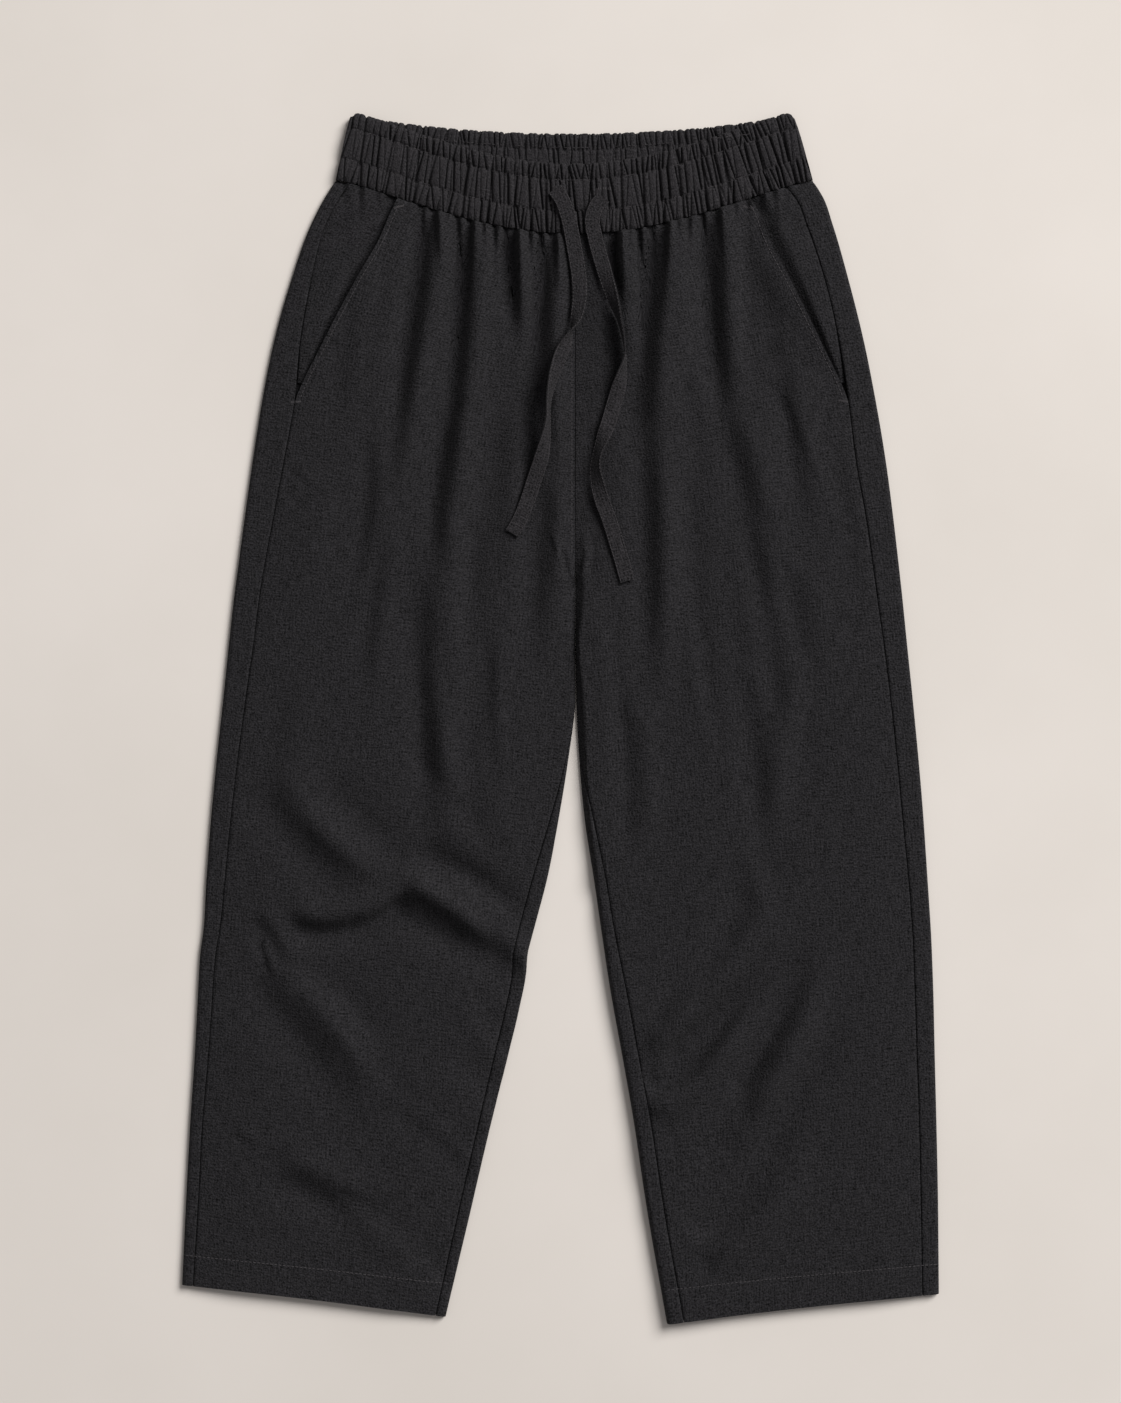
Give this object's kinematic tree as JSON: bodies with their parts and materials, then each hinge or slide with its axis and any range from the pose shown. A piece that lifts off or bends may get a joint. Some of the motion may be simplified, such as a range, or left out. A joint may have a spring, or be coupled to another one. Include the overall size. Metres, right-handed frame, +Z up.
{
  "type": "drawstring trousers laid flat",
  "caption": "Loose cropped linen trousers laid flat on their back: gathered elastic waistband, flat drawstring ends, slant pockets, set-in side seams and turned-up hems.",
  "frame": {"origin": "centre of the garment's bounding box, on the surface it lies on, without the drawstring ends", "axes": "+Y from the hems to the waist, +X to the wearer's left, +Z up from the surface, fronts up"},
  "size_m": [0.6057, 0.97, 0.0183],
  "materials": {
    "linen": "charcoal linen and cotton plain weave, slubbed, matt",
    "band_linen": "the same cloth, gathered over elastic, matt",
    "tape_linen": "the same cloth folded and topstitched into a flat tape, matt"
  },
  "bodies": {
    "root": {"front_right": "linen", "front_left": "linen", "back_right": "linen", "back_left": "linen", "pocket_facing_right": "linen", "pocket_facing_left": "linen", "waistband": "band_linen", "drawstring_right": "tape_linen", "drawstring_left": "tape_linen"}
  },
  "joints": []
}
